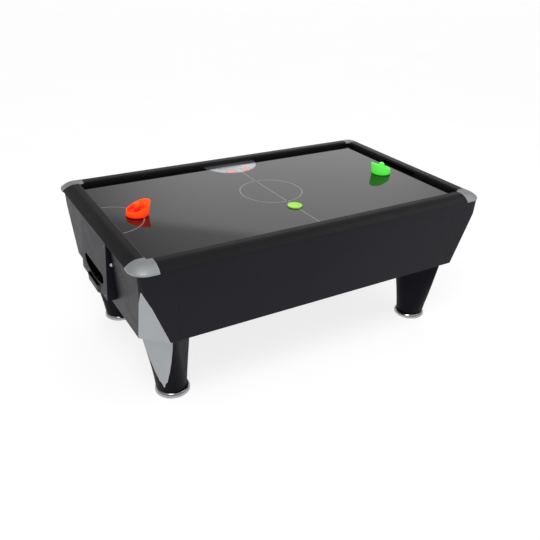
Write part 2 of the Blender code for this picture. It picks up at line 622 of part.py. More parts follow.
def return_housing(name, sx, material):
    """Cover outside the end panel, open at the back, with the return opening in its face."""
    def half_shell(inset, top, bottom):
        loops = []
        for z in (bottom, top):
            back = cabinet_half(z)[0] + GAP - (0.02 if inset else 0.0)
            front = housing_x(z) - inset
            y = HOUSING_HALF - inset
            loops.append([(back, -y, z), (front, -y, z), (front, y, z), (back, y, z)])
        return loft(loops)
    shell = add_node(name, half_shell(0.0, HOUSING_TOP, HOUSING_BOTTOM), material)
    carve(shell, half_shell(HOUSING_WALL, HOUSING_TOP - HOUSING_WALL, HOUSING_BOTTOM + HOUSING_WALL))
    carve(shell, prism(return_opening(), 1.045, 1.10, "X"))
    carve(shell, block(1.00, 1.10, -TRAY_HALF - GAP, TRAY_HALF + GAP, 0.45, TRAY_TOP + GAP))
    mirror_mesh_x(shell, sx)
    return shell


def mirror_mesh_x(obj, sx):
    """Flip an object's mesh to the other end of the table."""
    if sx > 0:
        return
    bm = bmesh.new()
    bm.from_mesh(obj.data)
    mirrored(bm, -1, 1)
    bmesh.ops.reverse_faces(bm, faces=bm.faces)
    bm.to_mesh(obj.data)
    bm.free()


def catch_tray(name, sx, material):
    """Scoop that catches a returned puck on edge under the return opening."""
    low_x = cabinet_half(TRAY_TOP)[0] + 2 * GAP
    wall = 0.003

    def scoop(inset, lift):
        loops = []
        for z, out in ((TRAY_BOTTOM + inset, 0.010), (TRAY_BOTTOM + 0.012, 0.003), (TRAY_TOP + lift, 0.0)):
            y = TRAY_HALF - inset - out
            x0, x1 = low_x + inset, TRAY_X - inset - out
            loops.append([(x0, -y, z), (x1 - 0.012, -y, z), (x1, -y + 0.018, z),
                          (x1, y - 0.018, z), (x1 - 0.012, y, z), (x0, y, z)])
        return loft(loops)
    tray = add_node(name, scoop(0.0, 0.0), material)
    carve(tray, scoop(wall, 0.01))
    mirror_mesh_x(tray, sx)
    return tray


def goal_chute(name, sx, material):
    """Channel that drops a scored puck from the goal slot to the return opening."""
    x0, x1, half, wall = 0.9545, 1.0030, GOAL_HALF + 0.004, 0.003
    low, high = 0.515, FIELD_Z - FIELD_THICK - 2 * GAP
    chute = add_node(name, block(x0, x1, -half, half, low, high), material)
    hollow = [(x0 + wall, high + 0.01), (x0 + wall, RETURN_LOW + 0.030), (x1 - wall, RETURN_LOW + 0.004),
              (x1 - wall, high + 0.01)]
    carve(chute, prism(hollow, -half + wall, half - wall, "Y"))
    mouth = block(x1 - 2 * wall, x1 + 0.01, -half + wall, half - wall, RETURN_LOW + 0.004, RETURN_TOP)
    carve(chute, mouth)
    mirror_mesh_x(chute, sx)
    return chute


def start_button(name, sx, material):
    """Domed push button beside the return housing, on the player's right."""
    x, y = cabinet_half(BUTTON_Z)[0], sx * BUTTON_Y
    stem = 0.006
    profile = [(0.0, -stem), (stem, -stem), (stem, 0.0045), (BUTTON_RADIUS, 0.0045), (BUTTON_RADIUS, 0.0085),
               (0.0085, 0.0125), (0.0050, 0.0150), (0.0, 0.0160)]
    bm = turned(profile, (0.0, 0.0), 24)
    for vert in bm.verts:
        a, b, c = vert.co
        vert.co = (sx * (x + c), y + a, BUTTON_Z + b)
    return add_node(name, bm, material, (sx * x, y, BUTTON_Z), 30)


# ---- feet and playing pieces --------------------------------------------------------------
def levelling_foot(name, corner, material):
    """Wide disc foot with a stem that screws up into the leg."""
    profile = [(0.0, 0.0), (FOOT_RADIUS - 0.004, 0.0), (FOOT_RADIUS, 0.004), (FOOT_RADIUS, 0.013),
               (FOOT_RADIUS - 0.003, 0.020), (FOOT_RADIUS - 0.009, FOOT_HEIGHT), (STEM_RADIUS, FOOT_HEIGHT),
               (STEM_RADIUS, STEM_TOP), (0.0, STEM_TOP)]
    centre = (FOOT_X * corner[0], FOOT_Y * corner[1])
    return add_node(name, turned(profile, centre, 40), material, (*centre, 0.0), 30)


def mallet(name, place, facing, material):
    """Round mallet with a middle knob and a wall that rises into a finger guard in front."""
    steps = 40
    angles = [2 * pi * i / steps for i in range(steps)]
    bm = bmesh.new()
    columns = []
    for angle in angles:
        front = max(0.0, (1 + cos(angle)) / 2) ** 1.6
        rim_z = MALLET_WALL + (MALLET_GUARD - MALLET_WALL) * front
        rim_r = MALLET_RADIUS - 0.002 + MALLET_FLARE * front ** 2
        section = ((0.011, MALLET_KNOB), (0.017, MALLET_KNOB - 0.005), (0.0145, 0.026), (0.022, 0.012),
                   (0.046, 0.012), (rim_r - 0.005, rim_z - 0.002), (rim_r - 0.002, rim_z),
                   (rim_r, rim_z - 0.002), (MALLET_RADIUS, 0.005), (MALLET_RADIUS - 0.003, 0.0))
        columns.append([bm.verts.new((radius * cos(angle) * facing, radius * sin(angle), z))
                        for radius, z in section])
    rings = list(zip(*columns))
    for upper, lower in zip(rings, rings[1:]):
        for i in range(steps):
            j = (i + 1) % steps
            bm.faces.new((upper[i], upper[j], lower[j], lower[i]))
    bm.faces.new(rings[0])
    bm.faces.new(rings[-1])
    bmesh.ops.translate(bm, verts=bm.verts, vec=(*place, FIELD_Z + GAP))
    return add_node(name, bm, material, (*place, FIELD_Z + GAP), 50)


def puck(material):
    z = FIELD_Z + GAP
    edge = 0.0015
    top = z + PUCK_THICK
    profile = [(0.0, z), (PUCK_RADIUS - edge, z), (PUCK_RADIUS, z + edge), (PUCK_RADIUS, top - edge),
               (PUCK_RADIUS - edge, top), (0.0, top)]
    return add_node("puck", turned(profile, PUCK_PLACE, 40), material, (*PUCK_PLACE, z), 30)


# ---- assembly -----------------------------------------------------------------------------
def clear_scene():
    for obj in list(bpy.data.objects):
        bpy.data.objects.remove(obj)


def build():
    clear_scene()
    paint = {name: make_material(name, *values) for name, values in FINISHES.items()}

    side_panel("side_panel_front", -1, paint["cabinet_black"])
    side_panel("side_panel_back", 1, paint["cabinet_black"])
    for side, sx in (("left", -1), ("right", 1)):
        end_panel("end_panel_" + side, sx, paint["cabinet_black"])
        end_rail("rail_" + side, sx, paint["rail_black"])
        return_housing("return_housing_" + side, sx, paint["cabinet_black"])
        catch_tray("catch_tray_" + side, sx, paint["black_plastic"])
        goal_chute("goal_chute_" + side, sx, paint["galvanised"])
        start_button("start_button_" + side, sx, paint["chrome"])
    side_rail("rail_front", -1, paint["rail_black"])
    side_rail("rail_back", 1, paint["rail_black"])

    post_materials = (paint["cabinet_black"], paint["silver_laminate"])
    for place, corner in CORNERS.items():
        post = faceted_pair(("corner_post_" + place, "corner_flash_" + place), post_solid, post_facet(),
                            corner, post_materials, tip_planes())
        ledge = block(0.3, FIELD_X + GAP, 0.3, FIELD_Y + GAP, FIELD_Z - FIELD_THICK - GAP, 0.90)
        carve(post, mirrored(ledge, *corner))
        leg = faceted_pair(("leg_" + place, "leg_flash_" + place), leg_solid, leg_facet(),
                           corner, post_materials)
        bore = prism(arc(FOOT_X, FOOT_Y, STEM_RADIUS + 0.001, 0, 360, 24)[:-1], 0.0, STEM_TOP + 0.01)
        carve(leg, mirrored(bore, *corner))
        levelling_foot("foot_" + place, corner, paint["chrome"])
        corner_cap("corner_cap_" + place, corner, paint["satin_silver"])

    base_panel(paint["cabinet_black"])
    support_frame(paint["inner_board"])
    rebound_strips(paint["black_plastic"])
    playfield(paint["field_gloss"])
    score_panel(paint["score_grey"])
    score_digits(paint["led_red"])
    air_chamber(paint["inner_board"])
    blower(paint)
    power_inlet(paint)
    mallet("mallet_left", MALLET_LEFT, 1, paint["mallet_orange"])
    mallet("mallet_right", MALLET_RIGHT, -1, paint["mallet_green"])
    puck(paint["puck_lime"])


build()
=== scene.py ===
"""Looks of the air hockey table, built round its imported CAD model.

Metres, +Z up. X runs along the table and Y across it; the front is -Y and the left end is -X.
"""

from math import cos, pi, radians, sin

import bmesh
import bpy
from mathutils import Matrix, Vector


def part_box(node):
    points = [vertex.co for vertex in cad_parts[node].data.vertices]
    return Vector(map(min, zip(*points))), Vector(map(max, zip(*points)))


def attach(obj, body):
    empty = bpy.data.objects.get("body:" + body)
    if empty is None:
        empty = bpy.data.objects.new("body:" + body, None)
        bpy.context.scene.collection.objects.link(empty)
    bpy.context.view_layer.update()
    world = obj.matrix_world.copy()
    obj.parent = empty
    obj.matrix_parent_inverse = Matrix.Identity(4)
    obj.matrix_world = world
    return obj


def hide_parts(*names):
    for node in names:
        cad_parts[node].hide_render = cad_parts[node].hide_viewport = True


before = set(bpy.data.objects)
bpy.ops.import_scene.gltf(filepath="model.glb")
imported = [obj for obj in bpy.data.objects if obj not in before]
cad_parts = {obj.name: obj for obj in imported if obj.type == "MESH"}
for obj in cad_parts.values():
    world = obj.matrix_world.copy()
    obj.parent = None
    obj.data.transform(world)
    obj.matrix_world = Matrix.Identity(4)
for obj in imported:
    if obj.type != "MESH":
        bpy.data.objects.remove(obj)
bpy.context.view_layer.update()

# ---- driving values -----------------------------------------------------------------------
CAMERA_PLACE = (-1.866, -3.059, 2.208)
CAMERA_YAW, CAMERA_PITCH, CAMERA_ROLL = 31.365, 22.861, 1.971   # degrees
CAMERA_LENS, SENSOR = 43.71, 36.0
CAMERA_RISE = -0.1093        # vertical shift, in frame widths

BEVEL, BEVEL_STEPS = 0.0012, 2
BEVEL_ANGLE = 34.0           # edges that turn by more than this many degrees are softened
WELD_GAP = 0.00001
FLAT_ANGLE = 0.5             # faces within this many degrees are merged into one

DECAL_LIFT = 0.00015         # painted and printed marks lie this far over their surface
LINE_WIDTH = 0.0078
CIRCLE_RADIUS = 0.185        # outer radius of the centre circle and of the goal crease
HOLE_PITCH, HOLE_RADIUS, HOLE_SIDES = 0.0254, 0.0009, 8
HOLE_MARGIN_X, HOLE_MARGIN_Y = 0.045, 0.030   # kept clear of holes at the field's ends and sides
HOLE_PANEL_GAP = 0.012       # and round the score panel

WINDOW_EDGE = 0.028          # from the end of the lamp board to the middle of a digit window
WINDOW_SIZE = (0.0246, 0.0166, 0.0025)        # half length, half width, corner radius
WINDOW_OUTER, WINDOW_INNER = (0.0290, 0.0210, 0.0045), (0.0278, 0.0198, 0.0040)   # printed frame
WINDOW_PROUD, WINDOW_CHAMFER = 0.0002, 0.0004
DIGIT_OFFSET = 0.0105        # from a window's middle to each of its two digits
DIGIT_HALF = (0.0052, 0.0105)
DIGIT_PROUD, DIGIT_LEAN = 0.0003, 0.12
BAR_WIDTH, BAR_GAP, BAR_DEPTH, BAR_CHAMFER = 0.0021, 0.0006, 0.0003, 0.0001
PANEL_ARCS = ((0.006, 0.0012, 183, 357, 72), (0.060, 0.0008, 196, 344, 60))
# each printed arc: distance in from the panel's edge, width, start and end in degrees, steps

SEGMENTS = 64                # round pieces are turned with this many sides
MALLET_SEGMENTS, PUCK_SEGMENTS, SCREW_SEGMENTS = 72, 96, 20
MALLET_WALL = 0.032          # height of a mallet's wall behind the hand
MALLET_FLARE = 0.014         # how far its guard leans out past the wall
GUARD_FALL = 1.6             # how fast the guard falls away from the front; larger is faster

HOUSING_SCREW_HEIGHTS, HOUSING_SCREW_Y = (0.779, 0.505), 0.187
HOUSING_LEAN = 0.0083        # how far a return housing's face leans back over its height
RAIL_SCREWS, RAIL_SCREW_DROP = (-0.57, 0.0, 0.57), 0.012
RAIL_SCREW_LIFT = 0.0002

FLOOR_SIZE, FLOOR_GLOW = 60.0, 0.80
LIGHT_TARGET = (0.0, 0.0, 0.6)
LIGHTS = (("key", (-2.4, -2.6, 4.6), 2.4, 95.0), ("fill", (3.0, -2.0, 4.2), 3.0, 35.0))

# Surround: brightness low down and higher up, then what the ceiling and the panel add.
SURROUND_LOW, SURROUND_HIGH, OVERHEAD, PANEL_GLOW = 0.92, 0.39, 0.34, 0.80
PANEL_HEADING, PANEL_REACH, PANEL_CORE = (33.0, 20.0), 20.0, 4.0        # degrees
SHADE_HEADING, SHADE_REACH, SHADE_CORE = (12.0, 33.0), 26.0, 15.0       # degrees
SHADE_BORDER = (-0.290, -0.313, 0.904)        # normal of the shade's straight lower border
SHADE_DEPTH = 0.42


# ---- node helpers -------------------------------------------------------------------------
def new_material(name, metallic=0.0, **constants):
    material = bpy.data.materials.new(name)
    material.use_nodes = True
    shader = material.node_tree.nodes["Principled BSDF"]
    shader.inputs["Metallic"].default_value = metallic
    for socket, value in constants.items():
        shader.inputs[socket.replace("_", " ")].default_value = value
    return material


def add(material, kind, inputs=(), **settings):
    """Add a node; inputs are (socket, value or output socket) pairs."""
    tree = material.node_tree
    node = tree.nodes.new(kind)
    for key, value in settings.items():
        setattr(node, key, value)
    for socket, value in inputs:
        if isinstance(value, bpy.types.NodeSocket):
            tree.links.new(value, node.inputs[socket])
        else:
            node.inputs[socket].default_value = value
    return node


def link(material, output, socket):
    shader = material.node_tree.nodes["Principled BSDF"]
    material.node_tree.links.new(output, shader.inputs[socket])


def noise(material, scale, stretch=(1.0, 1.0, 1.0), detail=3.0, roughness=0.55):
    place = add(material, "ShaderNodeTexCoord")
    mapped = add(material, "ShaderNodeMapping", [("Vector", place.outputs["Object"]), ("Scale", stretch)])
    return add(material, "ShaderNodeTexNoise", [
        ("Vector", mapped.outputs[0]), ("Scale", scale), ("Detail", detail), ("Roughness", roughness),
    ]).outputs["Fac"]


def remap(material, value, low, high, start=0.3, end=0.7):
    return add(material, "ShaderNodeMapRange", [
        ("Value", value), ("From Min", start), ("From Max", end), ("To Min", low), ("To Max", high),
    ]).outputs[0]


def mix(material, share, first, second):
    node = add(material, "ShaderNodeMix", data_type="RGBA")
    tree = material.node_tree
    tree.links.new(share, node.inputs["Factor"])
    for socket, value in ((node.inputs[6], first), (node.inputs[7], second)):
        if isinstance(value, bpy.types.NodeSocket):
            tree.links.new(value, socket)
        else:
            socket.default_value = (*value, 1.0)
    return node.outputs[2]


def product(material, first, second):
    return add(material, "ShaderNodeMath", [(0, first), (1, second)], operation="MULTIPLY").outputs[0]


def edge_wear(material, radius):
    """1 along sharp edges where the finish is rubbed, broken up by noise, and 0 elsewhere."""
    rounded = add(material, "ShaderNodeBevel", [("Radius", radius)], samples=4)
    plain = add(material, "ShaderNodeNewGeometry")
    facing = add(material, "ShaderNodeVectorMath", [(0, rounded.outputs[0]), (1, plain.outputs["Normal"])],
                 operation="DOT_PRODUCT")
    edge = remap(material, facing.outputs["Value"], 1.0, 0.0, 0.86, 0.995)
    patchy = remap(material, noise(material, 60.0, detail=5.0), 0.0, 1.0, 0.42, 0.62)
    return product(material, edge, patchy)


def bump(material, height, distance, strength):
    node = add(material, "ShaderNodeBump", [
        ("Strength", strength), ("Distance", distance), ("Height", height),
    ])
    link(material, node.outputs["Normal"], "Normal")


# ---- materials ----------------------------------------------------------------------------
def cabinet_finish(name, dark, light, rough, specular, grain=900.0, wear=0.4):
    """Black board or rail covering: cloudy tone, fine stipple, rubbed edges."""
    material = new_material(name, Specular_IOR_Level=specular)
    cloud = remap(material, noise(material, 3.5, detail=4.0), 0.0, 1.0)
    base = mix(material, cloud, dark, light)
    rubbed = product(material, edge_wear(material, 0.0025), wear)
    link(material, mix(material, rubbed, base, (0.050, 0.048, 0.048)), "Base Color")
    smear = noise(material, 9.0, (1.0, 1.0, 2.2), detail=6.0)
    link(material, remap(material, smear, rough - 0.025, rough + 0.035), "Roughness")
    bump(material, noise(material, grain, detail=2.0), 0.00012, 0.35)
    return material


def metal_finish(name, dark, light, rough, metallic, stretch, brush=140.0, wear=0.0):
    """Brushed or satin metal: streaked tone and roughness, hairline bump."""
    material = new_material(name, metallic)
    streak = noise(material, brush, stretch, detail=4.0, roughness=0.7)
    tone = mix(material, remap(material, streak, 0.0, 1.0), dark, light)
    if wear:
        tone = mix(material, product(material, edge_wear(material, 0.003), wear), tone, (0.72, 0.73, 0.74))
    link(material, tone, "Base Color")
    patch = noise(material, 7.0, detail=5.0)
    link(material, remap(material, patch, rough - 0.05, rough + 0.08), "Roughness")
    bump(material, streak, 0.00008, 0.3)
    return material


def plastic_finish(name, dark, light, rough, grain=500.0, depth=0.0001, **constants):
    """Moulded plastic: slight tone drift, fine moulded texture, scuffed sheen."""
    material = new_material(name, **constants)
    drift = remap(material, noise(material, 14.0, detail=4.0), 0.0, 1.0)
    link(material, mix(material, drift, dark, light), "Base Color")
    scuff = noise(material, 45.0, detail=8.0, roughness=0.7)
    link(material, remap(material, scuff, rough - 0.05, rough + 0.10), "Roughness")
    bump(material, noise(material, grain, detail=2.0), depth, 0.3)
    return material


def painted_glow_and_shade_finish(name, outer, painted_hollow_shade, glow):
    """Fluorescent plastic, with a painted glow that makes it shine back more light than falls on it, and
    painted shade that deepens its colour in hollows.
    """
    material = new_material(name, Emission_Strength=glow, Specular_IOR_Level=0.3)
    # painted shade: ambient occlusion turns the colour towards the darker shade tone in hollows
    hollow_shade = add(material, "ShaderNodeAmbientOcclusion", [("Distance", 0.045)], samples=8)
    unshaded_share = remap(material, hollow_shade.outputs["AO"], 0.0, 1.0, 0.50, 0.93)
    drift = remap(material, noise(material, 14.0, detail=4.0), 0.93, 1.0)
    tone = mix(material, product(material, unshaded_share, drift), painted_hollow_shade, outer)
    link(material, tone, "Base Color")
    # painted glow: the same colour is also emitted as light, though the mallet is no lamp
    link(material, tone, "Emission Color")
    scuff = noise(material, 45.0, detail=8.0, roughness=0.7)
    link(material, remap(material, scuff, 0.28, 0.44), "Roughness")
    bump(material, noise(material, 500.0, detail=2.0), 0.0001, 0.3)
    return material


def field_finish():
    """Polished black playing surface with hairline scuffs and a trace of dust."""
    material = new_material("field_surface", IOR=1.5)
    dust = remap(material, noise(material, 2.2, detail=7.0, roughness=0.65), 0.0, 1.0, 0.35, 0.75)
    link(material, mix(material, dust, (0.0016, 0.0016, 0.0020), (0.0034, 0.0034, 0.0038)), "Base Color")
    scuff = noise(material, 30.0, (1.0, 9.0, 1.0), detail=8.0, roughness=0.75)
    cross = noise(material, 26.0, (8.0, 1.0, 1.0), detail=8.0, roughness=0.75)
    both = product(material, scuff, cross)
    link(material, remap(material, both, 0.020, 0.075, 0.12, 0.42), "Roughness")
    return material


def board_finish(name, dark, light):
    """Raw inner board: pressed fibres along the length."""
    material = new_material(name)
    fibre = noise(material, 120.0, (0.12, 1.0, 1.0), detail=6.0, roughness=0.7)
    link(material, mix(material, remap(material, fibre, 0.0, 1.0), dark, light), "Base Color")
    link(material, remap(material, fibre, 0.62, 0.85), "Roughness")
    bump(material, fibre, 0.0004, 0.4)
    return material


def glow_finish(name, colour, strength):
    """Lit lamp or lamp segment."""
    material = new_material(name, Emission_Color=(*colour, 1.0), Emission_Strength=strength)
    drift = remap(material, noise(material, 220.0, detail=3.0), 0.0, 1.0)
    link(material, mix(material, drift, tuple(c * 0.7 for c in colour), colour), "Base Color")
    link(material, remap(material, noise(material, 90.0), 0.20, 0.33), "Roughness")
    return material


FINISHES = {
    "cabinet_black": cabinet_finish("cabinet_covering", (0.0048, 0.0041, 0.0080),
                                    (0.0064, 0.0055, 0.0103), 0.44, specular=0.15),
    "leg_black": cabinet_finish("leg_covering", (0.0040, 0.0034, 0.0060),
                                (0.0070, 0.0060, 0.0095), 0.46, specular=0.05),
    "rail_black": cabinet_finish("rail_covering", (0.0058, 0.0055, 0.0066),
                                 (0.0080, 0.0076, 0.0090), 0.42, specular=0.15, grain=1400.0, wear=0.2),
    "satin_silver": metal_finish("cap_metal", (0.28, 0.295, 0.298), (0.34, 0.355, 0.358), 0.50, 0.60,
                                 (1.0, 1.0, 0.25), wear=0.5),
    "silver_laminate": metal_finish("plate_metal", (0.350, 0.366, 0.376), (0.380, 0.396, 0.406), 0.45, 0.6,
                                    (1.0, 1.0, 0.05), wear=0.4),
    "chrome": metal_finish("foot_chrome", (0.36, 0.36, 0.37), (0.46, 0.46, 0.47), 0.16, 1.0,
                           (1.0, 1.0, 1.0), brush=60.0),
    "field_gloss": field_finish(),
    "score_grey": metal_finish("score_metal", (0.43, 0.45, 0.475), (0.50, 0.52, 0.545), 0.16, 0.85,
                               (1.0, 0.12, 1.0)),
    "led_red": glow_finish("switch_lamp", (0.75, 0.03, 0.02), 0.6),
    "black_plastic": plastic_finish("return_plastic", (0.0030, 0.0030, 0.0034),
                                    (0.0055, 0.0055, 0.0058), 0.42, Specular_IOR_Level=0.3),
    "inner_board": board_finish("board_fibre", (0.20, 0.135, 0.075), (0.36, 0.26, 0.16)),
    "galvanised": metal_finish("zinc_sheet", (0.38, 0.39, 0.41), (0.60, 0.61, 0.63), 0.42, 0.9,
                               (1.0, 1.0, 1.0), brush=35.0),
    "motor_grey": plastic_finish("motor_paint", (0.14, 0.15, 0.165), (0.21, 0.22, 0.235), 0.45),
    # mallets: outer colour, then a painted-shade colour for hollows, then the strength of a painted glow
    "mallet_orange": painted_glow_and_shade_finish("orange_plastic", (1.0, 0.078, 0.003),
                                        (0.95, 0.004, 0.008), 0.75),
    "mallet_green": painted_glow_and_shade_finish("green_plastic", (0.155, 0.95, 0.110),
                                       (0.060, 0.80, 0.045), 0.42),
    # lime puck with a faint painted glow (emission), though it is no lamp
    "puck_lime": plastic_finish("lime_plastic", (0.30, 0.72, 0.05), (0.40, 0.84, 0.07), 0.33,
                                Emission_Color=(0.3, 0.9, 0.03, 1.0), Emission_Strength=0.10),
}


# ---- geometry helpers ---------------------------------------------------------------------
def make_piece(name, bm, material, body, sharp=35.0, replaces=()):
    """Turn a bmesh in table coordinates into a piece that rides on a body."""
    bmesh.ops.recalc_face_normals(bm, faces=bm.faces)
    mesh = bpy.data.meshes.new(name)
    bm.to_mesh(mesh)
    bm.free()
    mesh.shade_smooth()
    mesh.set_sharp_from_angle(angle=radians(sharp))
    mesh.materials.append(material)
    piece = bpy.data.objects.new(name, mesh)
    bpy.context.scene.collection.objects.link(piece)
    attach(piece, body)
    if replaces:
        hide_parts(*replaces)
    return piece


def ring_of(bm, radius, z, centre, steps):
    return [bm.verts.new((centre[0] + radius * cos(2 * pi * i / steps),
                          centre[1] + radius * sin(2 * pi * i / steps), z)) for i in range(steps)]


def skin(bm, rings):
    """Faces between a row of rings, with the first and last ring filled."""
    for lower, upper in zip(rings, rings[1:]):
        for i in range(len(lower)):
            j = (i + 1) % len(lower)
            bm.faces.new((lower[i], lower[j], upper[j], upper[i]))
    bm.faces.new(rings[0][::-1])
    bm.faces.new(rings[-1])


def turned(profile, centre=(0.0, 0.0), steps=SEGMENTS):
    """Solid turned about Z from (radius, z) rows that run from the bottom to the top."""
    bm = bmesh.new()
    skin(bm, [ring_of(bm, radius, z, centre, steps) for radius, z in profile])
    return bm


def band(bm, inner, outer):
    """Flat strip between two lines of points."""
    first = [bm.verts.new(p) for p in inner]
    second = [bm.verts.new(p) for p in outer]
    for i in range(len(first) - 1):
        bm.faces.new((first[i], first[i + 1], second[i + 1], second[i]))


def arc_band(bm, centre, outer, width, start, end, z, steps):
    """Flat ring sector, angles in degrees."""
    angles = [radians(start + (end - start) * i / steps) for i in range(steps + 1)]
    band(bm, *[[(centre[0] + r * cos(a), centre[1] + r * sin(a), z) for a in angles]
               for r in (outer - width, outer)])


def flat_bar(bm, x0, x1, y0, y1, z):
    band(bm, [(x0, y0, z), (x1, y0, z)], [(x0, y1, z), (x1, y1, z)])


# ---- carried-over CAD nodes ---------------------------------------------------------------
def dress(node, bevel):
    """Give a CAD node its finish and smooth shading, then clean shading and softened edges by modifiers.
    """
    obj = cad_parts[node]
    slot = obj.data.materials[0].name.split(".")[0]
    finish = "leg_black" if node.startswith("leg_") and slot == "cabinet_black" else slot
    obj.data.materials[0] = FINISHES[finish]
    obj.data.shade_smooth()
    weld = obj.modifiers.new("weld", "WELD")
    weld.merge_threshold = WELD_GAP
    flatten = obj.modifiers.new("flatten", "DECIMATE")
    flatten.decimate_type = "DISSOLVE"
    flatten.angle_limit = radians(FLAT_ANGLE)
    soften = obj.modifiers.new("soften", "BEVEL")
    soften.width = bevel
    soften.segments = BEVEL_STEPS
    soften.limit_method = "ANGLE"
    soften.angle_limit = radians(BEVEL_ANGLE)
    soften.use_clamp_overlap = True
    soften.harden_normals = False
    even = obj.modifiers.new("even", "WEIGHTED_NORMAL")
    even.mode = "FACE_AREA"
    even.weight = 100
    even.keep_sharp = False


# Edge radius by the start of a node's name; "leg_flash" comes before "leg", which it starts with.
BEVELS = {
    "corner_cap": 0.0010, "corner_flash": 0.0004, "leg_flash": 0.0004, "leg": 0.0010,
    "playfield": 0.0006, "score_panel": 0.0003, "foot": 0.0008, "rebound_strip": 0.0006,
    "start_button": 0.0004, "blower": 0.0004, "intake_guard": 0.0003, "power": 0.0004,
    "catch_tray": 0.0006, "goal_chute": 0.0004, "return_housing": 0.0010,
}


def dress_nodes():
    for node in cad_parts:
        key = next((k for k in BEVELS if node.startswith(k)), None)
        dress(node, BEVELS.get(key, BEVEL))


# ---- playing surface ----------------------------------------------------------------------
def playing_surface():
    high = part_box("playfield")[1]
    z = high.z + DECAL_LIFT
    panel_low, panel_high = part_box("score_panel")
    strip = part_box("rebound_strip_front")[1].y
    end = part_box("rebound_strip_left")[1].x

    paint = plastic_finish("line_paint", (0.155, 0.155, 0.160), (0.185, 0.185, 0.190), 0.12,
                           depth=0.00002)
    bm = bmesh.new()
    half = LINE_WIDTH / 2
    flat_bar(bm, -half, half, strip, panel_low.y, z)
    arc_band(bm, (0.0, 0.0), CIRCLE_RADIUS, LINE_WIDTH, 0, 360, z, 96)
    arc_band(bm, (end, 0.0), CIRCLE_RADIUS, LINE_WIDTH, -90, 90, z, 64)
    make_piece("field_lines", bm, paint, "cabinet")

    dark = plastic_finish("hole_shadow", (0.002, 0.002, 0.002), (0.004, 0.004, 0.004), 0.7)
    bm = bmesh.new()
    reach_x, reach_y = high.x - HOLE_MARGIN_X, high.y - HOLE_MARGIN_Y
    columns, rows = int(reach_x / HOLE_PITCH), int(reach_y / HOLE_PITCH)
    for i in range(-columns, columns + 1):
        for j in range(-rows, rows + 1):
            x, y = (i + 0.5) * HOLE_PITCH, (j + 0.5) * HOLE_PITCH
            from_panel = (x * x + (y - panel_high.y) ** 2) ** 0.5
            if from_panel < panel_high.x + HOLE_PANEL_GAP or abs(x) > reach_x or abs(y) > reach_y:
                continue
            bm.faces.new(ring_of(bm, HOLE_RADIUS, z + DECAL_LIFT, (x, y), HOLE_SIDES))
    make_piece("air_holes", bm, dark, "cabinet")


# ---- score display ------------------------------------------------------------------------
def rounded_outline(x, y, half_x, half_y, radius):
    """Rectangle with rounded corners, as points in X and Y."""
    points, steps = [], 5
    for cx, cy, start in ((1, 1, 0), (-1, 1, 90), (-1, -1, 180), (1, -1, 270)):
        corner_x, corner_y = x + cx * (half_x - radius), y + cy * (half_y - radius)
        for i in range(steps + 1):
            a = radians(start + 90 * i / steps)
            points.append((corner_x + radius * cos(a), corner_y + radius * sin(a)))
    return points


def slab(bm, outline, low, high, inset):
    """Plate with a bevelled top edge, from an outline in X and Y."""
    cx = sum(p[0] for p in outline) / len(outline)
    cy = sum(p[1] for p in outline) / len(outline)
    rows = [(low, 0.0), (high - inset, 0.0), (high, inset)]
    rings = []
    for z, shrink in rows:
        ring = []
        for x, y in outline:
            away = Vector((x - cx, y - cy))
            keep = 1.0 - shrink / max(away.length, 1e-6)
            ring.append(bm.verts.new((cx + away.x * keep, cy + away.y * keep, z)))
        rings.append(ring)
    skin(bm, rings)


def score_display():
    low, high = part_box("score_digits")
    panel_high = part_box("score_panel")[1]
    top = panel_high.z
    lens = plastic_finish("frosted_lens", (0.62, 0.20, 0.18), (0.70, 0.25, 0.22), 0.16,
                          depth=0.00001, Emission_Color=(1.0, 0.16, 0.12, 1.0),
                          Emission_Strength=0.45)
    lit = glow_finish("lit_segment", (1.0, 0.14, 0.09), 1.6)
    y = (low.y + high.y) / 2
    centre_x = high.x - WINDOW_EDGE
    windows, digits = bmesh.new(), bmesh.new()
    for side in (-1, 1):
        x = side * centre_x
        outline = rounded_outline(x, y, *WINDOW_SIZE)
        slab(windows, outline, low.z, top + WINDOW_PROUD, WINDOW_CHAMFER)
        for spot in (-DIGIT_OFFSET, DIGIT_OFFSET):
            seven_segment(digits, x + spot, y, top + DIGIT_PROUD)
    make_piece("digit_windows", windows, lens, "cabinet", replaces=["score_digits"])
    make_piece("lit_digits", digits, lit, "cabinet")

    print_ink = plastic_finish("panel_print", (0.07, 0.075, 0.08), (0.11, 0.115, 0.12), 0.3,
                               depth=0.00001)
    bm = bmesh.new()
    centre = (0.0, panel_high.y)
    for inset, width, start, end, steps in PANEL_ARCS:
        arc_band(bm, centre, panel_high.x - inset, width, start, end, top + DECAL_LIFT, steps)
    for side in (-1, 1):
        x = side * centre_x
        outer, inner = rounded_outline(x, y, *WINDOW_OUTER), rounded_outline(x, y, *WINDOW_INNER)
        frame_line(bm, outer, inner, top + DECAL_LIFT)
    make_piece("panel_print_lines", bm, print_ink, "cabinet")


def frame_line(bm, outer, inner, z):
    band(bm, [(*p, z) for p in inner + inner[:1]], [(*p, z) for p in outer + outer[:1]])


def seven_segment(bm, x, y, z):
    """A nought on a seven segment display, leaning a little, as raised bars."""
    half_w, half_h = DIGIT_HALF
    half, reach = BAR_WIDTH / 2, half_w - BAR_GAP
    shapes = [[(-reach, v - half), (reach, v - half), (reach - half, v + half), (half - reach, v + half)]
              for v in (half_h, -half_h)]
    for u in (-half_w, half_w):
        for v0, v1 in ((BAR_GAP, half_h - BAR_GAP), (BAR_GAP - half_h, -BAR_GAP)):
            shapes.append([(u - half, v0), (u + half, v0), (u + half, v1), (u - half, v1)])
    for shape in shapes:
        outline = [(x + a + DIGIT_LEAN * b, y + b) for a, b in shape]
        slab(bm, outline, z - BAR_DEPTH, z, BAR_CHAMFER)


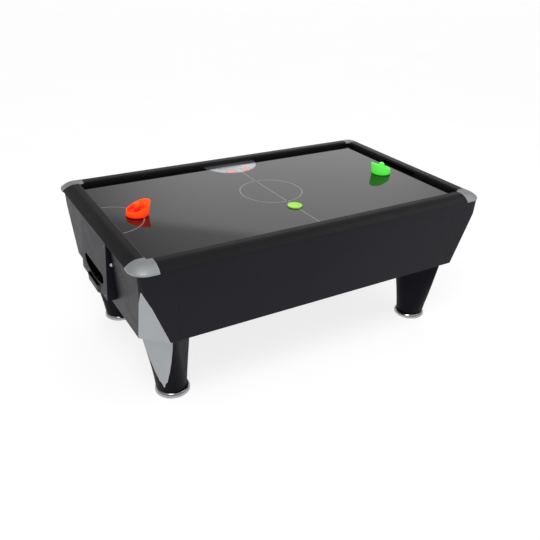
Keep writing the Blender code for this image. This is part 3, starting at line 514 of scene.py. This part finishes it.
# ---- mallets and puck ---------------------------------------------------------------------
def mallet_section(front, radius, guard):
    """Radius and height rows of a mallet from the knob's top, over the wall, to its base."""
    wall = MALLET_WALL + (guard - MALLET_WALL) * front
    rim = radius - 0.002 + (MALLET_FLARE - 0.0005) * front ** 2
    inner = rim - 0.0050
    knob = guard - 0.0045
    floor = [(0.0045, knob), (0.0095, knob - 0.0009), (0.0137, knob - 0.0032), (0.0162, knob - 0.0070),
             (0.0166, knob - 0.0110), (0.0156, knob - 0.0180), (0.0147, 0.034), (0.0150, 0.024),
             (0.0172, 0.0172), (0.0215, 0.0133), (0.0280, 0.0122), (0.0400, 0.0122), (0.0455, 0.0130)]
    shell = [(0.0490, 0.0152), (0.0507, 0.0200),
             (inner - 0.0012 - (inner - 0.0512) * 0.45, wall * 0.55 + 0.007),
             (inner, wall - 0.0042), (inner + 0.0006, wall - 0.0018), (inner + 0.0020, wall),
             (rim - 0.0012, wall - 0.0001), (rim, wall - 0.0020),
             (rim - (rim - radius + 0.001) * 0.45, wall * 0.55 + 0.004), (radius - 0.0003, 0.0100),
             (radius, 0.0050), (radius - 0.0008, 0.0022), (radius - 0.0035, 0.0010)]
    return floor + shell


def mallet(node, name, body, facing, slot):
    """Mallet with a middle knob and a wall that flares up into a finger guard in front."""
    low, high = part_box(node)
    radius = (high.y - low.y) / 2
    middle = low.x + radius if facing > 0 else high.x - radius
    centre = Vector((middle, (low.y + high.y) / 2, low.z))
    bm = bmesh.new()
    columns = []
    for i in range(MALLET_SEGMENTS):
        angle = 2 * pi * i / MALLET_SEGMENTS
        along, across = cos(angle) * facing, sin(angle)
        front = max(0.0, (1 + cos(angle)) / 2) ** GUARD_FALL
        columns.append([bm.verts.new((centre.x + r * along, centre.y + r * across, centre.z + z))
                        for r, z in mallet_section(front, radius, high.z - low.z)])
    skin(bm, list(zip(*columns)))
    piece = make_piece(name, bm, FINISHES[slot], body, 60, replaces=[node])
    smooth = piece.modifiers.new("smooth", "SUBSURF")
    smooth.levels = smooth.render_levels = 1

    felt = plastic_finish(name + "_felt_weave", (0.012, 0.012, 0.013), (0.030, 0.030, 0.031), 0.85,
                          grain=1800.0, depth=0.0005)
    pad = turned([(radius - 0.0060, 0.0), (radius - 0.0052, 0.0004), (radius - 0.0052, 0.0012)])
    bmesh.ops.translate(pad, verts=pad.verts, vec=centre)
    make_piece(name + "_felt", pad, felt, body)


def puck():
    low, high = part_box("puck")
    centre = ((low.x + high.x) / 2, (low.y + high.y) / 2)
    r, z0, z1 = (high.x - low.x) / 2, low.z, high.z
    profile = [(r - 0.0060, z0), (r - 0.0014, z0), (r - 0.0004, z0 + 0.0005), (r, z0 + 0.0016),
               (r, z1 - 0.0016), (r - 0.0004, z1 - 0.0005), (r - 0.0014, z1), (r - 0.0052, z1),
               (r - 0.0060, z1 - 0.0004), (r - 0.0068, z1 - 0.0006)]
    disc = turned(profile, centre, PUCK_SEGMENTS)
    make_piece("puck_disc", disc, FINISHES["puck_lime"], "puck", 40, replaces=["puck"])


# ---- small fittings -----------------------------------------------------------------------
def screw_head(bm, place, normal, radius, height=0.0014):
    """Domed screw head with a round recess, standing on a surface."""
    profile = [(radius, 0.0), (radius, height * 0.35), (radius * 0.82, height * 0.80),
               (radius * 0.45, height), (radius * 0.40, height * 0.55), (radius * 0.10, height * 0.50)]
    part = turned(profile, steps=SCREW_SEGMENTS)
    turn = Vector((0, 0, 1)).rotation_difference(Vector(normal)).to_matrix().to_4x4()
    turn.translation = Vector(place)
    bmesh.ops.transform(part, matrix=turn, verts=part.verts)
    mesh = bpy.data.meshes.new("part")
    part.to_mesh(mesh)
    part.free()
    bm.from_mesh(mesh)
    bpy.data.meshes.remove(mesh)


def fittings():
    black_screw = metal_finish("black_zinc", (0.05, 0.05, 0.052), (0.09, 0.09, 0.093), 0.35, 0.8,
                               (1.0, 1.0, 1.0))
    bm = bmesh.new()
    for side, name in ((-1, "left"), (1, "right")):
        low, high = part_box("return_housing_" + name)
        outer = max(abs(low.x), abs(high.x))
        inner = outer - HOUSING_LEAN
        for z in HOUSING_SCREW_HEIGHTS:
            x = outer + (inner - outer) * ((z - low.z) / (high.z - low.z))
            for sy in (-1, 1):
                screw_head(bm, (side * x, sy * HOUSING_SCREW_Y, z), (side, 0.0, 0.025), 0.0040)
    make_piece("housing_screws", bm, FINISHES["satin_silver"], "cabinet")

    bm = bmesh.new()
    for side, name in ((-1, "front"), (1, "back")):
        low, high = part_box("rail_" + name)
        inner = low.y if side > 0 else high.y
        for x in RAIL_SCREWS:
            place = (x, inner - side * RAIL_SCREW_LIFT, high.z - RAIL_SCREW_DROP)
            screw_head(bm, place, (0.0, -side, 0.0), 0.0030, 0.0008)
    make_piece("rail_screws", bm, black_screw, "cabinet")


# ---- surroundings -------------------------------------------------------------------------
def add_camera():
    yaw, pitch, roll = radians(CAMERA_YAW), radians(CAMERA_PITCH), radians(CAMERA_ROLL)
    back = Vector((-sin(yaw) * cos(pitch), -cos(yaw) * cos(pitch), sin(pitch)))
    right = (-back).cross(Vector((0, 0, 1))).normalized()
    up = back.cross(right)
    across = right * cos(roll) + up * sin(roll)
    rise = up * cos(roll) - right * sin(roll)
    data = bpy.data.cameras.new("camera")
    data.lens, data.sensor_width = CAMERA_LENS, SENSOR
    data.shift_y = CAMERA_RISE
    data.clip_end = 200.0
    camera = bpy.data.objects.new("camera", data)
    placed = Matrix((across, rise, back)).transposed().to_4x4()
    placed.translation = Vector(CAMERA_PLACE)
    camera.matrix_world = placed
    bpy.context.scene.collection.objects.link(camera)
    bpy.context.scene.camera = camera


def heading(way, rise):
    """Direction from a compass angle (0 along +Y, 90 along +X) and a height angle, in degrees."""
    way, rise = radians(way), radians(rise)
    return Vector((sin(way) * cos(rise), cos(way) * cos(rise), sin(rise)))


def add_world():
    """Soft studio surround: white low down, a bright panel behind, a shade with one straight border."""
    world = bpy.data.worlds.new("studio")
    bpy.context.scene.world = world
    world.use_nodes = True
    tree = world.node_tree
    place = tree.nodes.new("ShaderNodeTexCoord").outputs["Generated"]

    def math(operation, *values):
        node = tree.nodes.new("ShaderNodeMath")
        node.operation = operation
        for i, value in enumerate(values):
            if isinstance(value, bpy.types.NodeSocket):
                tree.links.new(value, node.inputs[i])
            else:
                node.inputs[i].default_value = value
        return node.outputs[0]

    def along(direction):
        node = tree.nodes.new("ShaderNodeVectorMath")
        node.operation = "DOT_PRODUCT"
        tree.links.new(place, node.inputs[0])
        node.inputs[1].default_value = direction
        return node.outputs["Value"]

    def ease(value, start, end, low, high):
        node = tree.nodes.new("ShaderNodeMapRange")
        node.interpolation_type = "SMOOTHSTEP"
        tree.links.new(value, node.inputs["Value"])
        for socket, number in (("From Min", start), ("From Max", end), ("To Min", low), ("To Max", high)):
            node.inputs[socket].default_value = number
        return node.outputs[0]

    height = along((0.0, 0.0, 1.0))
    surround = ease(height, -0.05, 0.30, SURROUND_LOW, SURROUND_HIGH)
    overhead = ease(height, 0.45, 0.95, 0.0, OVERHEAD)
    panel = ease(along(heading(*PANEL_HEADING)), cos(radians(PANEL_REACH)), cos(radians(PANEL_CORE)),
                 0.0, PANEL_GLOW)
    total = math("ADD", math("ADD", surround, overhead), panel)
    edge = ease(along(Vector(SHADE_BORDER)), -0.004, 0.012, 0.0, SHADE_DEPTH)
    shade = ease(along(heading(*SHADE_HEADING)), cos(radians(SHADE_REACH)), cos(radians(SHADE_CORE)),
                 0.0, 1.0)
    total = math("MULTIPLY", total, math("SUBTRACT", 1.0, math("MULTIPLY", edge, shade)))
    background = tree.nodes["Background"]
    background.inputs["Color"].default_value = (1.0, 0.995, 1.0, 1.0)
    tree.links.new(total, background.inputs["Strength"])


def add_floor():
    bm = bmesh.new()
    bmesh.ops.create_grid(bm, x_segments=8, y_segments=8, size=FLOOR_SIZE)
    mesh = bpy.data.meshes.new("floor")
    bm.to_mesh(mesh)
    bm.free()
    floor = bpy.data.objects.new("floor", mesh)
    bpy.context.scene.collection.objects.link(floor)
    material = new_material("floor_white", Roughness=0.9, Emission_Color=(1.0, 1.0, 1.0, 1.0),
                            Emission_Strength=FLOOR_GLOW)
    tint = remap(material, noise(material, 0.8), 0.0, 1.0)
    link(material, mix(material, tint, (0.26, 0.26, 0.26), (0.28, 0.28, 0.28)), "Base Color")
    mesh.materials.append(material)


def add_light(name, place, target, size, power):
    data = bpy.data.lights.new(name, "AREA")
    data.shape = "DISK"
    data.size, data.energy = size, power
    light = bpy.data.objects.new(name, data)
    light.location = place
    light.rotation_euler = (Vector(place) - Vector(target)).to_track_quat("Z", "Y").to_euler()
    bpy.context.scene.collection.objects.link(light)


add_camera()
add_world()
add_floor()
for light_name, light_place, light_size, light_power in LIGHTS:
    add_light(light_name, light_place, LIGHT_TARGET, light_size, light_power)
bpy.context.scene.view_settings.view_transform = "Standard"

dress_nodes()
playing_surface()
score_display()
mallet("mallet_left", "orange_mallet", "mallet_orange", 1, "mallet_orange")
mallet("mallet_right", "green_mallet", "mallet_green", -1, "mallet_green")
puck()
fittings()
